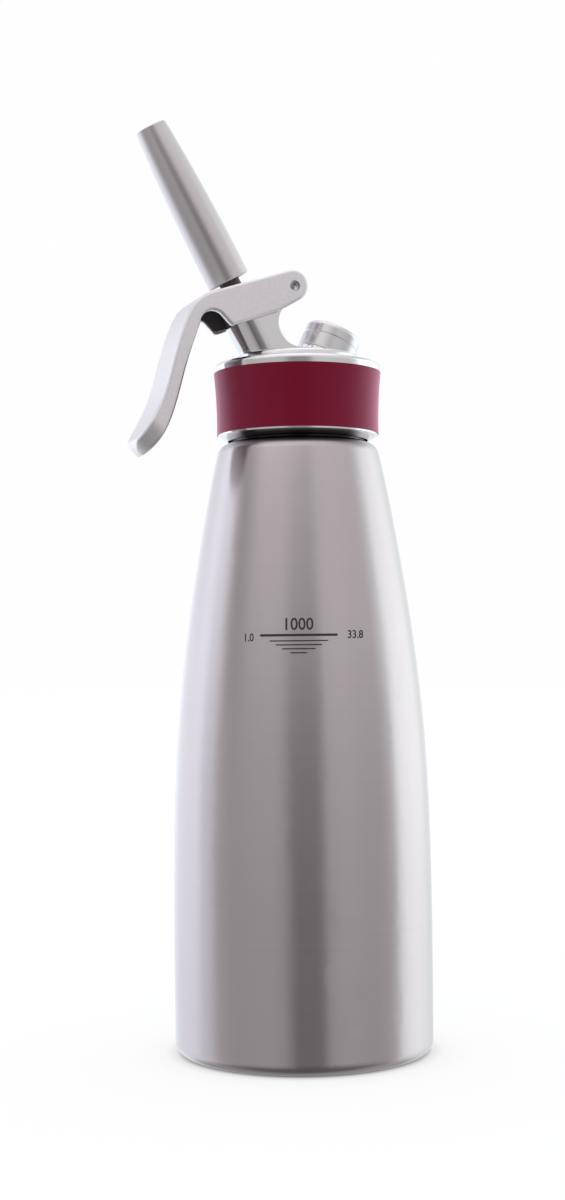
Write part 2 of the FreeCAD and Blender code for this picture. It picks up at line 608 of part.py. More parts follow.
rings = doc.addObject("Part::Compound", "stem_o_rings")
rings.Label = "stem_o_rings"
ring_low = torus("ring_low", "ring_mid_r", "ring_wire_r", None, FreeCAD.Placement())
ring_low.Placement = on_valve(val("ring_a+ring_wide/2"))
ring_high = torus("ring_high", "ring_mid_r", "ring_wire_r", None, FreeCAD.Placement())
ring_high.Placement = on_valve(val("ring_b+ring_wide/2"))
rings.Links = [ring_low, ring_high]
keep(rings)

keep(ring("valve_washer", "stem_end_r+0.03", "washer_r", "washer_low", "washer_top", on_valve()))

nut = keep(new_body("washer_nut"))
nut_sketch = new_sketch(nut, "nut_hexagon", "XY_Plane", FreeCAD.Placement(V(0, 0, val("nut_low")), FreeCAD.Rotation()))
corner = val("nut_af/2") / math.cos(math.radians(30))
hexagon = [V(corner * math.cos(math.radians(60 * k)), corner * math.sin(math.radians(60 * k)), 0) for k in range(6)]
sides = [nut_sketch.addGeometry(Part.LineSegment(hexagon[k], hexagon[(k + 1) % 6]), False) for k in range(6)]
for k in range(6):
    nut_sketch.addConstraint(Sketcher.Constraint("Coincident", sides[k], 2, sides[(k + 1) % 6], 1))
across = nut_sketch.addGeometry(Part.Circle(V(0, 0, 0), V(0, 0, 1), val("nut_af/2")), True)
nut_sketch.addConstraint(Sketcher.Constraint("Coincident", across, 3, -1, 1))
flat = nut_sketch.addConstraint(Sketcher.Constraint("Radius", across, val("nut_af/2")))
bind(nut_sketch, flat, "nut_af/2", "flats")
for k in range(6):
    nut_sketch.addConstraint(Sketcher.Constraint("Tangent", sides[k], across))
for k in range(1, 6):
    nut_sketch.addConstraint(Sketcher.Constraint("Equal", sides[0], sides[k]))
nut_sketch.addConstraint(Sketcher.Constraint("PointOnObject", sides[0], 1, -1))
rounded(nut_sketch, ("0", "0"), "stem_end_r+0.03", "bore")
nut_pad = nut.newObject("PartDesign::Pad", "nut_pad")
nut_pad.Profile = nut_sketch
nut_pad.Length = val("nut_top-nut_low")
nut_pad.setExpression("Length", ref("nut_top-nut_low"))
nut.Tip = nut_pad
nut.Placement = on_valve()

keep(ring("stem_guide", "guide_bore_r", "guide_r", "guide_low", "guide_top", on_valve()))
keep(coil("valve_spring", "coil_r", "coil_wire_r", "coil_low", "coil_high", 5.0, on_valve()))

# ------------------------------------------------------- nozzle and adapter ----
adapter = keep(new_body("nozzle_adapter"))
turned(adapter, "adapter_sleeve", *polygon([
    ("adapter_bore_r", "adapter_low"), ("adapter_r-0.5", "adapter_low"), ("adapter_r", "adapter_low+0.5"),
    ("adapter_r", "adapter_flange+0.4"), ("adapter_r-0.4", "adapter_flange+0.8"),
    ("adapter_r-0.4", "adapter_flange+1.6"), ("adapter_r", "adapter_flange+2.0"),
    ("adapter_r", "adapter_top-0.5"), ("adapter_r-0.5", "adapter_top"), ("adapter_bore_r", "adapter_top")]))
adapter.Placement = on_valve()

keep(ring("nozzle_seal", "tipseal_in_r", "tipseal_out_r", "tipseal_low", "tipseal_top", on_valve()))

nozzle = keep(new_body("decorator_nozzle"))
turned(nozzle, "nozzle_cone", ("nozzle_socket_r", "nozzle_base"), [
    ("line", ("nozzle_r-nozzle_chamfer", "nozzle_base")),
    ("line", ("nozzle_r", "nozzle_base+nozzle_chamfer")),
    ("curve", [("nozzle_a_r", "nozzle_a"), ("nozzle_b_r", "nozzle_b")], ("nozzle_tip_r+0.02", "nozzle_tip-0.35")),
    ("line", ("nozzle_tip_r-0.3", "nozzle_tip")),
    ("line", ("nozzle_mouth_r", "nozzle_tip")),
    ("line", ("nozzle_throat_r", "nozzle_shoulder+4")),
    ("line", ("nozzle_throat_r", "nozzle_shoulder")),
    ("line", ("nozzle_socket_r", "nozzle_shoulder")),
    ("line", ("nozzle_socket_r", "nozzle_base")),
])
nozzle.Placement = on_valve()

# ---------------------------------------------------------------- lever ----
lever = keep(new_body("lever"))
slab(lever, "lever_blank", ("nose_top_x", "nose_top_z"), [
    ("line", ("top_end_x", "top_end_z")),
    ("curve", [("back_a_x", "back_a_z"), ("back_b_x", "back_b_z"), ("back_c_x", "back_c_z"),
               ("back_d_x", "back_d_z"), ("back_e_x", "back_e_z")], ("tip_a_x", "tip_a_z")),
    ("curve", [("tip_c_x", "tip_c_z"), ("tip_d_x", "tip_d_z")], ("tip_b_x", "tip_b_z")),
    ("curve", [("front_a_x", "front_a_z"), ("front_b_x", "front_b_z"), ("front_c_x", "front_c_z"),
               ("front_d_x", "front_d_z")], ("notch_a_x", "notch_a_z")),
    ("arc", ("notch_b_x", "notch_b_z"), "notch_r", -1),
    ("line", ("cheek_a_x", "cheek_a_z")),
    ("arc", ("cheek_b_x", "cheek_b_z"), "cheek_round", 1),
    ("line", ("cheek_c_x", "cheek_c_z")),
    ("line", ("nose_low_x", "nose_low_z")),
    ("arc", ("nose_top_x", "nose_top_z"), "nose_r", 1),
], "lever_half")
# fork: the space between the two cheeks, roofed by the web, open at the nose
slab(lever, "lever_fork", ("fork_end_x", "292"), [
    ("line", ("fork_end_x", "web_end_z")),
    ("line", ("web_far_x", "web_far_z")),
    ("arc", ("fork_low_x", "fork_low_z"), "fork_round", 1),
    ("line", ("fork_low_x", "262")),
    ("line", ("3", "262")),
    ("line", ("3", "292")),
    ("line", ("fork_end_x", "292")),
], "fork_half", cut=True)


def slot_at(body, name, offset, radius, run, depth):
    """A slot across a leaning axis, from the axis towards the pivot."""
    before = volume(body)
    sketch = new_sketch(body, name + "_outline", "XY_Plane", offset)
    r, far = val(radius), val(run)
    near_arc = sketch.addGeometry(
        Part.ArcOfCircle(Part.Circle(V(0, 0, 0), V(0, 0, 1), r), math.pi / 2, 3 * math.pi / 2), False)
    far_arc = sketch.addGeometry(
        Part.ArcOfCircle(Part.Circle(V(far, 0, 0), V(0, 0, 1), r), -math.pi / 2, math.pi / 2), False)
    low = sketch.addGeometry(Part.LineSegment(V(0, -r, 0), V(far, -r, 0)), False)
    high = sketch.addGeometry(Part.LineSegment(V(far, r, 0), V(0, r, 0)), False)
    add = lambda *a: sketch.addConstraint(Sketcher.Constraint(*a))
    add("Coincident", near_arc, 3, -1, 1)
    add("PointOnObject", near_arc, 1, -2)
    add("PointOnObject", near_arc, 2, -2)
    add("PointOnObject", far_arc, 3, -1)
    bind(sketch, add("DistanceX", -1, 1, far_arc, 3, far), run, "run")
    add("Vertical", far_arc, 3, far_arc, 1)
    add("Vertical", far_arc, 3, far_arc, 2)
    bind(sketch, add("Radius", near_arc, r), radius, "near")
    bind(sketch, add("Radius", far_arc, r), radius, "far")
    add("Coincident", near_arc, 2, low, 1)
    add("Coincident", low, 2, far_arc, 1)
    add("Coincident", far_arc, 2, high, 1)
    add("Coincident", high, 2, near_arc, 1)
    feature = body.newObject("PartDesign::Pocket", name)
    feature.Profile = sketch
    feature.Type = "Length"
    feature.Length = depth
    feature.Reversed = True
    body.Tip = feature
    if volume(body) >= before - 1e-6:
        raise RuntimeError(name + " cuts nothing")
    return feature


slot_at(lever, "stem_slot", on_valve(18.0), "slot_r", "slot_run", 16.0)
side_hole(lever, "pivot_bore", ("pin_x", "pin_z"), "lever_pin_bore_r", "lever_half+1")
# rounded corners of the handle's end, seen square on to the handle
corners = new_sketch(lever, "tip_corners_outline", "XY_Plane", FreeCAD.Placement(
    V(val("tip_x"), 0, val("tip_z")), FreeCAD.Rotation(V(0, 1, 0), val("tip_lean"))))
outline(corners, ("tip_end-tip_corner", "lever_half"), [
    ("arc", ("tip_end", "lever_half-tip_corner"), "tip_corner", -1),
    ("line", ("tip_end+4", "lever_half-tip_corner")),
    ("line", ("tip_end+4", "lever_half+2")),
    ("line", ("tip_end-tip_corner", "lever_half+2")),
    ("line", ("tip_end-tip_corner", "lever_half"))], "a")
outline(corners, ("tip_end-tip_corner", "0-lever_half"), [
    ("line", ("tip_end-tip_corner", "0-lever_half-2")),
    ("line", ("tip_end+4", "0-lever_half-2")),
    ("line", ("tip_end+4", "0-lever_half+tip_corner")),
    ("line", ("tip_end", "0-lever_half+tip_corner")),
    ("arc", ("tip_end-tip_corner", "0-lever_half"), "tip_corner", -1)], "b")
tip_cut = lever.newObject("PartDesign::Pocket", "tip_corners")
tip_cut.Profile = corners
tip_cut.SideType = "Symmetric"
tip_cut.Type = "Length"
tip_cut.Length = 24.0
before_tip = lever.Shape.Volume
lever.Tip = tip_cut
if volume(lever) >= before_tip - 1e-6:
    raise RuntimeError("tip corners cut nothing")


def outer_edge(edge):
    """The lever's outer long edges on both sides, round the handle's end too."""
    box = edge.BoundBox
    half = val("lever_half")
    middle = edge.valueAt((edge.FirstParameter + edge.LastParameter) / 2)
    if box.YLength < 0.01 and abs(abs(middle.y) - half) < 0.01:
        pivot = V(val("pin_x"), middle.y, val("pin_z"))
        bore = abs(middle.distanceToPoint(pivot) - val("lever_pin_bore_r")) < 0.05
        seam = edge.Curve.TypeId == "Part::GeomLine" and box.XMax < -50
        return not bore and not seam
    return box.XMax < -57 and box.YLength < 4 and edge.Curve.TypeId == "Part::GeomBSplineCurve"


round_edges(lever, "lever_edges", "lever_edge", outer_edge)

# black pressure insert: plate under the web, curved back, thin side walls and
# the two rounded lobes that press on the stem's cap
insert = keep(new_body("lever_insert"))
slab(insert, "insert_blank", ("ins_a_x", "ins_a_z"), [
    ("line", ("ins_b_x", "ins_b_z")),
    ("arc", ("ins_c_x", "ins_c_z"), "ins_back_r", 1),
    ("line", ("ins_d_x", "ins_d_z")),
    ("arc", ("ins_e_x", "ins_e_z"), "ins_notch_r", -1),
    ("line", ("ins_f_x", "ins_f_z")),
    ("line", ("ins_g_x", "ins_g_z")),
    ("line", ("ins_h_x", "ins_h_z")),
    ("line", ("ins_i_x", "ins_i_z")),
    ("line", ("ins_j_x", "ins_j_z")),
    ("line", ("ins_a_x", "ins_a_z")),
], "insert_half")
slab(insert, "insert_room", ("ins_k_x", "ins_k_z"), [
    ("line", ("ins_l_x", "ins_l_z")),
    ("arc", ("ins_m_x", "ins_m_z"), "ins_room_r", 1),
    ("line", ("ins_m_x", "262")),
    ("line", ("ins_k_x", "262")),
    ("line", ("ins_k_x", "ins_k_z")),
], "insert_wall", cut=True)
slab(insert, "insert_lobes", ("lobe_a_x", "lobe_a_z"), [
    ("arc", ("lobe_b_x", "lobe_b_z"), "lobe_r", 1),
    ("line", ("lobe_a_x", "lobe_a_z")),
], "lobe_half")
slot_at(insert, "insert_slot", on_valve(18.0), "insert_slot_r", "slot_run", 16.0)

lever_pin = keep(new_body("lever_pin"))
turned(lever_pin, "pin_turned", *polygon([
    ("0", "0-pin_half+pin_dish"), ("pin_dish_r", "0-pin_half"), ("pin_r", "0-pin_half"), ("pin_r", "pin_half"),
    ("pin_dish_r", "pin_half"), ("0", "pin_half-pin_dish")]))
lever_pin.Placement = FreeCAD.Placement(V(val("pin_x"), 0, val("pin_z")), FreeCAD.Rotation(V(1, 0, 0), 90))

# ------------------------------------------------------------- gas port ----
fitting = keep(new_body("gas_port"))
turned(fitting, "port_turned", *polygon([
    ("fit_gas_r", "fit_ball_top"), ("fit_gas_r", "fit_pin_floor"), ("fit_pin_r", "fit_pin_floor"),
    ("fit_pin_r", "fit_socket"), ("fit_socket_r", "fit_socket"), ("fit_socket_r", "fit_top"),
    ("fit_r-0.5", "fit_top"), ("fit_r", "fit_top-0.5"), ("fit_r", "fit_seat"), ("fit_shank_r", "fit_seat"),
    ("fit_shank_r", "fit_end"), ("fit_ball_r", "fit_end"), ("fit_ball_r", "fit_ball_top-1.2")]))
fitting.Placement = on_port()
keep(ring("port_seal", "portseal_in_r", "portseal_r", "portseal_low", "portseal_top", on_port()))

needle = keep(new_body("piercing_pin"))
turned(needle, "needle_turned", *polygon([
    ("needle_bore_r", "needle_low"), ("needle_r", "needle_low"), ("needle_r", "needle_shoulder"),
    ("needle_tip_r", "needle_top"), ("needle_bore_r", "needle_top-0.3")]))
needle.Placement = on_port()

keep(ring("charger_seal", "chargeseal_in_r", "chargeseal_out_r", "chargeseal_low", "chargeseal_top", on_port()))

ball = keep(doc.addObject("Part::Sphere", "check_ball"))
ball.Label = "check_ball"
ball.Radius = val("ball_r")
ball.setExpression("Radius", ref("ball_r"))
ball.Placement = on_port(val("ball_high"))

keep(coil("check_spring", "checkcoil_r", "checkcoil_wire_r", "checkcoil_low", "checkcoil_high", 3.0, on_port()))
keep(ring("check_plug", "checknut_bore_r", "checknut_r", "checknut_low", "checknut_top", on_port()))

cap = keep(new_body("protective_cap"))
turned(cap, "cap_turned", ("cap_bore_r", "cap_low"), [
    ("line", ("cap_r-0.4", "cap_low")),
    ("line", ("cap_r", "cap_low+0.4")),
    ("line", ("cap_r", "cap_step-0.35")),
    ("line", ("cap_crown_r-0.1", "cap_step")),
    ("line", ("cap_crown_r", "cap_step+0.3")),
    ("line", ("cap_crown_r", "cap_top-cap_round")),
    ("arc", ("cap_crown_r-cap_round", "cap_top"), "cap_round", 1),
    ("line", ("0", "cap_top")),
    ("line", ("0", "cap_bore_top")),
    ("line", ("cap_bore_r", "cap_bore_top")),
    ("line", ("cap_bore_r", "cap_low")),
])
cap.Placement = on_port()
keep(ring("cap_liner", "0", "liner_r", "liner_low", "liner_top", on_port()))

# ------------------------------------------------------ checks and output ----
doc.recompute()
bad = [o.Name for o in doc.Objects if "Invalid" in o.State or "Error" in o.State]
if bad:
    raise RuntimeError("failed objects: %s" % bad)
for obj in nodes:
    shape = obj.Shape
    if shape.isNull() or not shape.isValid() or shape.Volume <= 0:
        raise RuntimeError("bad shape: " + obj.Label)
for obj in nodes:
    obj.Shape.exportStep("parts/%s.step" % obj.Label)
    box = obj.Shape.BoundBox
    print("%-18s solids %d volume %9.1f  z %7.2f..%7.2f" % (
        obj.Label, len(obj.Shape.Solids), obj.Shape.Volume, box.ZMin, box.ZMax))
print(len(nodes), "nodes")
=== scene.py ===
import json
import math

import bmesh
import bpy
from mathutils import Matrix, Vector

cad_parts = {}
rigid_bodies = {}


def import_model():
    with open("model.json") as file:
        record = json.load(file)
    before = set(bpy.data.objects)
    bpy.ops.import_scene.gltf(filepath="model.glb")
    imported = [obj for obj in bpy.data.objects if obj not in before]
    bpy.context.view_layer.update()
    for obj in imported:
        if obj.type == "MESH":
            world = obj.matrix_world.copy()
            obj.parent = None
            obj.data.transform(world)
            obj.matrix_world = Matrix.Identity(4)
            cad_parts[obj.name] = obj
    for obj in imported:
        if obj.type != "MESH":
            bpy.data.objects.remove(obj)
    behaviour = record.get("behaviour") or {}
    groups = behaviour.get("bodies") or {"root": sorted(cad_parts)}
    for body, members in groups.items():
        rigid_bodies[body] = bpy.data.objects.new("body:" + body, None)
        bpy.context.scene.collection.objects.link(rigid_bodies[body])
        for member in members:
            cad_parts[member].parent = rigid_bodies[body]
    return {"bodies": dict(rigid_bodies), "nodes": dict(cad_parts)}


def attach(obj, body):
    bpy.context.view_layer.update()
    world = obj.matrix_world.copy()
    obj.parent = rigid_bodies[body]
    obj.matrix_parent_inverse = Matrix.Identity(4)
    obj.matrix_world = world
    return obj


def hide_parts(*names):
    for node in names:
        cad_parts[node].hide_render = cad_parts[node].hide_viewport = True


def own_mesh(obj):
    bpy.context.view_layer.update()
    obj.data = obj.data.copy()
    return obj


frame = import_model()
NODES, BODIES = frame["nodes"], frame["bodies"]
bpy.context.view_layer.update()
scene = bpy.context.scene
scene.view_settings.view_transform = "Standard"
scene.view_settings.look = "None"
scene.view_settings.exposure = 0.0
scene.view_settings.gamma = 1.0

# ---------------------------------------------------------------- camera ----
# The view looks 20 degrees round from straight ahead, from 683 mm away and a
# little under the middle of the bottle's height.
TURN = math.radians(20.0)
EYE = Vector((-0.683 * math.sin(TURN), -0.683 * math.cos(TURN), 0.1479))


def camera_axes():
    """Right, up and back of the camera, turned 0.5 degrees left, pitched up
    1.6 degrees and rolled 0.6 degrees."""
    yaw, pitch, roll = math.atan(17.1 / 1830.0), math.radians(1.565), math.radians(0.62)
    a = TURN - yaw
    ahead = Vector((math.sin(a), math.cos(a), 0.0))
    right = Vector((ahead.y, -ahead.x, 0.0))
    up = Vector((0.0, 0.0, 1.0))
    look = ahead * math.cos(pitch) + up * math.sin(pitch)
    over = -ahead * math.sin(pitch) + up * math.cos(pitch)
    r = right * math.cos(roll) - over * math.sin(roll)
    u = right * math.sin(roll) + over * math.cos(roll)
    return r, u, -look


cam = bpy.data.objects.new("camera", bpy.data.cameras.new("camera"))
bpy.context.collection.objects.link(cam)
R, U, B = camera_axes()
cam.matrix_world = Matrix((
    (R.x, U.x, B.x, EYE.x), (R.y, U.y, B.y, EYE.y), (R.z, U.z, B.z, EYE.z), (0, 0, 0, 1)))
cam.data.lens = 54.9
cam.data.sensor_width = 36.0
cam.data.sensor_fit = "AUTO"
cam.data.clip_start, cam.data.clip_end = 0.01, 50.0
scene.camera = cam

# ------------------------------------------------------------ node helpers ----


class Nodes:
    """A small writer for node trees."""

    def __init__(self, tree):
        self.tree = tree

    def add(self, kind, **values):
        node = self.tree.nodes.new(kind)
        for key, value in values.items():
            setattr(node, key, value)
        return node

    def link(self, a, b):
        self.tree.links.new(a, b)

    def put(self, socket, value):
        if value is None:
            return
        if isinstance(value, bpy.types.NodeSocket):
            self.link(value, socket)
        else:
            socket.default_value = value

    def math(self, op, a, b=None, c=None, clamp=False):
        node = self.add("ShaderNodeMath", operation=op, use_clamp=clamp)
        for socket, value in zip(node.inputs, (a, b, c)):
            self.put(socket, value)
        return node.outputs[0]

    def vec(self, op, a, b=None, scale=None):
        node = self.add("ShaderNodeVectorMath", operation=op)
        self.put(node.inputs[0], a)
        self.put(node.inputs[1], b)
        if scale is not None:
            self.put(node.inputs["Scale"], scale)
        return node.outputs["Value"] if op in ("DOT_PRODUCT", "LENGTH", "DISTANCE") else node.outputs[0]

    def xyz(self, vector):
        node = self.add("ShaderNodeSeparateXYZ")
        self.put(node.inputs[0], vector)
        return node.outputs

    def join(self, x, y, z):
        node = self.add("ShaderNodeCombineXYZ")
        for socket, value in zip(node.inputs, (x, y, z)):
            self.put(socket, value)
        return node.outputs[0]

    def ramp(self, value, stops, mode="LINEAR"):
        node = self.add("ShaderNodeValToRGB")
        node.color_ramp.interpolation = mode
        elements = node.color_ramp.elements
        while len(elements) > 1:
            elements.remove(elements[-1])
        for n, (place, colour) in enumerate(stops):
            e = elements[0] if n == 0 else elements.new(place)
            e.position = place
            colour = (colour,) * 3 if isinstance(colour, (int, float)) else colour
            e.color = (*colour, 1.0)
        self.put(node.inputs[0], value)
        return node.outputs[0]

    def span(self, value, low, high, to_low=0.0, to_high=1.0, smooth=False):
        node = self.add("ShaderNodeMapRange")
        node.interpolation_type = "SMOOTHSTEP" if smooth else "LINEAR"
        node.clamp = True
        for name, v in (("Value", value), ("From Min", low), ("From Max", high), ("To Min", to_low), ("To Max", to_high)):
            self.put(node.inputs[name], v)
        return node.outputs[0]

    def mix(self, share, a, b, blend="MIX"):
        node = self.add("ShaderNodeMix", data_type="RGBA", blend_type=blend)
        node.clamp_result = False
        self.put(node.inputs["Factor"], share)
        for name, v in ((6, a), (7, b)):
            if not isinstance(v, bpy.types.NodeSocket):
                v = (v,) * 3 if isinstance(v, (int, float)) else tuple(v)
                v = (*v[:3], 1.0)
            self.put(node.inputs[name], v)
        return node.outputs[2]

    def noise(self, vector, scale, detail=3.0, rough=0.5):
        node = self.add("ShaderNodeTexNoise")
        self.put(node.inputs["Vector"], vector)
        node.inputs["Scale"].default_value = scale
        node.inputs["Detail"].default_value = detail
        node.inputs["Roughness"].default_value = rough
        return node.outputs[0]

    def bump(self, height, strength, distance, normal=None):
        node = self.add("ShaderNodeBump")
        node.inputs["Strength"].default_value = strength
        node.inputs["Distance"].default_value = distance
        self.put(node.inputs["Height"], height)
        self.put(node.inputs["Normal"], normal)
        return node.outputs[0]


def material(name):
    m = bpy.data.materials.new(name)
    m.use_nodes = True
    m.node_tree.nodes.clear()
    n = Nodes(m.node_tree)
    out = n.add("ShaderNodeOutputMaterial")
    shader = n.add("ShaderNodeBsdfPrincipled")
    n.link(shader.outputs[0], out.inputs["Surface"])
    return m, n, shader


def object_point(n):
    return n.add("ShaderNodeTexCoord").outputs["Object"]


def along(n, point, axis):
    """Distance along an axis direction, in metres."""
    return n.vec("DOT_PRODUCT", point, tuple(axis))


def world_axis(n, axis):
    """An object-space direction as a world one, so it turns with its body."""
    node = n.add("ShaderNodeVectorTransform", vector_type="VECTOR", convert_from="OBJECT", convert_to="WORLD")
    node.inputs[0].default_value = tuple(axis)
    return node.outputs[0]


def brushed(name, tint, rough, axis=(0, 0, 1), lines=2600.0, run=16.0, stretch=0.0, depth=0.02,
            shade=0.10, spread=0.06, cloud=0.05, broad=0.25, smudge=0.012, dark=None, rounded=None):
    """Metal brushed or turned round an axis: fine lines across the axis, a
    slightly uneven sheen, faint clouds and the dull smudges of handling.
    dark is (low, high, level, top): painted shade in the gap between the head's
    skirt and the bottle, the metal darkened to level at low and clean at high,
    or the other way round, in a ring under the head, when top is true; the
    painted shade is weaker on the flanks as seen from the camera. rounded is
    (low, high, reach, lift): the wall between two heights beyond a distance
    from the Z axis is polished round, more so towards its top."""
    m, n, shader = material(name)
    p = object_point(n)
    a = Vector(axis).normalized()
    side = a.orthogonal().normalized()
    other = a.cross(side)
    q = n.join(n.math("MULTIPLY", along(n, p, a), lines),
               n.math("MULTIPLY", along(n, p, side), run),
               n.math("MULTIPLY", along(n, p, other), run))
    fine = n.noise(q, 1.0, 2.0, 0.6)
    q2 = n.join(n.math("MULTIPLY", along(n, p, a), lines * 0.31),
                n.math("MULTIPLY", along(n, p, side), run * 0.6),
                n.math("MULTIPLY", along(n, p, other), run * 0.6))
    coarse = n.noise(q2, 1.0, 2.0, 0.5)
    soft = n.noise(p, 22.0, 3.0, 0.5)
    both = n.math("ADD", n.math("MULTIPLY", fine, 1.0 - broad), n.math("MULTIPLY", coarse, broad))
    tone = n.span(both, 0.3, 0.7, 1.0 - shade, 1.0 + shade * 0.35)
    tone = n.math("MULTIPLY", tone, n.span(soft, 0.3, 0.7, 1.0 - cloud, 1.0 + cloud * 0.3))
    # Painted shade: darkens the metal in the gap under the head's skirt, less on the flanks as seen from the camera.
    if dark:
        low_z, high_z, level, top = dark
        gap_shade = n.span(n.xyz(p)[2], low_z, high_z, 0.0 if top else 1.0, 1.0 if top else 0.0, smooth=True)
        if top:
            gap_shade = n.math("MULTIPLY", gap_shade, n.span(n.xyz(p)[2], 0.2256, 0.2272, 1.0, 0.0, smooth=True))
        flank = n.vec("NORMALIZE", n.vec("MULTIPLY", p, (1.0, 1.0, 0.0)))
        flank = n.math("ABSOLUTE", n.vec("DOT_PRODUCT", flank, (math.cos(TURN), -math.sin(TURN), 0.0)))
        gap_shade = n.math("MULTIPLY", gap_shade, n.span(flank, 0.72, 0.93, 1.0 - level, 0.10, smooth=True))
        tone = n.math("MULTIPLY", tone, n.math("SUBTRACT", 1.0, gap_shade))
    n.link(n.mix(1.0, tint, n.join(tone, tone, tone), "MULTIPLY"), shader.inputs["Base Color"])
    dull = n.span(n.noise(p, 75.0, 4.0, 0.6), 0.52, 0.72, 0.0, smudge, smooth=True)
    n.link(n.math("ADD", n.span(both, 0.3, 0.7, rough - spread, rough + spread), dull), shader.inputs["Roughness"])
    shader.inputs["Metallic"].default_value = 1.0
    shader.inputs["Anisotropic"].default_value = stretch
    if stretch:
        n.link(world_axis(n, a), shader.inputs["Tangent"])
    facing = None
    if rounded:
        low_z, high_z, reach, lift = rounded
        geometry = n.add("ShaderNodeNewGeometry").outputs["Normal"]
        z = n.xyz(p)[2]
        wall_here = n.math("MULTIPLY", n.math("GREATER_THAN", n.vec("LENGTH", n.vec("MULTIPLY", p, (1.0, 1.0, 0.0))), reach),
                           n.math("MULTIPLY", n.math("GREATER_THAN", z, low_z), n.math("LESS_THAN", z, high_z)))
        upright = n.math("LESS_THAN", n.math("ABSOLUTE", n.xyz(geometry)[2]), 0.7)
        push = n.math("MULTIPLY", n.math("MULTIPLY", wall_here, upright), n.span(z, low_z, high_z, lift * 0.35, lift))
        facing = n.vec("NORMALIZE", n.vec("ADD", geometry, n.join(0.0, 0.0, push)))
    n.link(n.bump(both, depth, 0.0002, facing), shader.inputs["Normal"])
    return m


def satin(name, tint, rough, grain=900.0, depth=0.03, shade=0.05, spread=0.05, metallic=1.0, inner_shade=1.0):
    """Bead-blasted or satin metal: a very fine even grain. The last argument is the painted shade on the faces turned
    towards +X: the tone they are darkened to, fading in between heights of 0.226 and 0.234 m."""
    m, n, shader = material(name)
    p = object_point(n)
    fine = n.noise(p, grain, 2.0, 0.6)
    soft = n.noise(p, 28.0, 3.0, 0.5)
    tone = n.math("MULTIPLY", n.span(fine, 0.3, 0.7, 1.0 - shade, 1.0 + shade * 0.4),
                  n.span(soft, 0.3, 0.7, 0.97, 1.01))
    # Painted shade on the faces turned towards +X, the shaded inner side of the lever.
    if inner_shade < 1.0:
        facing = n.vec("DOT_PRODUCT", n.add("ShaderNodeTexCoord").outputs["Normal"], (1.0, 0.0, 0.0))
        share = n.math("MULTIPLY", n.span(facing, 0.35, 0.75, 0.0, 1.0 - inner_shade, smooth=True),
                       n.span(n.xyz(p)[2], 0.226, 0.234, 0.0, 1.0, smooth=True))
        tone = n.math("MULTIPLY", tone, n.math("SUBTRACT", 1.0, share))
    n.link(n.mix(1.0, tint, n.join(tone, tone, tone), "MULTIPLY"), shader.inputs["Base Color"])
    n.link(n.span(soft, 0.3, 0.7, rough - spread, rough + spread), shader.inputs["Roughness"])
    shader.inputs["Metallic"].default_value = metallic
    n.link(n.bump(fine, depth, 0.0001), shader.inputs["Normal"])
    return m


def plastic(name, tint, rough, grain=1400.0, depth=0.05, spread=0.05, specular=0.5, even=False):
    m, n, shader = material(name)
    p = object_point(n)
    fine = n.noise(p, grain, 3.0, 0.6)
    soft = n.noise(p, 60.0, 3.0, 0.5)
    tone = n.math("MULTIPLY", n.span(fine, 0.3, 0.7, 0.97 if even else 0.92, 1.02 if even else 1.05),
                  n.span(soft, 0.3, 0.7, 0.98 if even else 0.93, 1.01 if even else 1.04))
    n.link(n.mix(1.0, tint, n.join(tone, tone, tone), "MULTIPLY"), shader.inputs["Base Color"])
    n.link(n.span(soft, 0.3, 0.7, rough - spread, rough + spread), shader.inputs["Roughness"])
    shader.inputs["Specular IOR Level"].default_value = specular
    n.link(n.bump(fine, depth, 0.0001), shader.inputs["Normal"])
    return m


def wear(node, mat):
    o = NODES[node]
    o.data.materials.clear()
    o.data.materials.append(mat)


# --------------------------------------------------------------- materials ----
LEAN = math.radians(28.2)
W = Vector((-math.sin(LEAN), 0.0, math.cos(LEAN)))
E = Vector((math.cos(LEAN), 0.0, math.sin(LEAN)))
V0 = Vector((-0.01203, 0.0, 0.2575))
PORT = math.radians(23.8)
Q = Vector((math.sin(PORT), 0.0, math.cos(PORT)))
B0 = Vector((0.0119, 0.0, 0.260))

# The dark rings below are painted shade in the gap between the head's skirt and the bottle's neck.
steel = brushed("bottle_brushed", (0.605, 0.545, 0.560), 0.245, lines=4200.0, run=10.0, stretch=0.90,
                depth=0.006, shade=0.025, spread=0.010, cloud=0.02, broad=0.18, dark=(0.2212, 0.2246, 0.16, True))
head_satin = brushed("head_satin", (0.84, 0.812, 0.828), 0.11, lines=1800.0, shade=0.012, spread=0.008,
                     cloud=0.02, depth=0.003, dark=(0.2268, 0.2276, 0.60, False), rounded=(0.25478, 0.25745, 0.0224, 0.30))
# The lever's inner faces get painted shade.
lever_satin = satin("lever_satin", (0.872, 0.830, 0.858), 0.36, metallic=0.86, inner_shade=0.55)
nozzle_brushed = brushed("nozzle_brushed", (0.71, 0.660, 0.675), 0.32, axis=W, lines=3600.0, run=12.0, stretch=0.74,
                         depth=0.003, shade=0.015, spread=0.006, cloud=0.015, broad=0.18)
cap_satin = brushed("cap_satin", (0.77, 0.748, 0.762), 0.286, axis=Q, lines=1800.0, shade=0.012, spread=0.006,
                    cloud=0.015, depth=0.002)
turned_steel = brushed("turned_steel", (0.66, 0.65, 0.65), 0.24, axis=W)
port_steel = brushed("port_steel", (0.66, 0.65, 0.64), 0.24, axis=Q)
pin_steel = brushed("pin_steel", (0.62, 0.61, 0.61), 0.22, axis=(0, 1, 0))
wire_steel = satin("wire_steel", (0.55, 0.55, 0.56), 0.28)
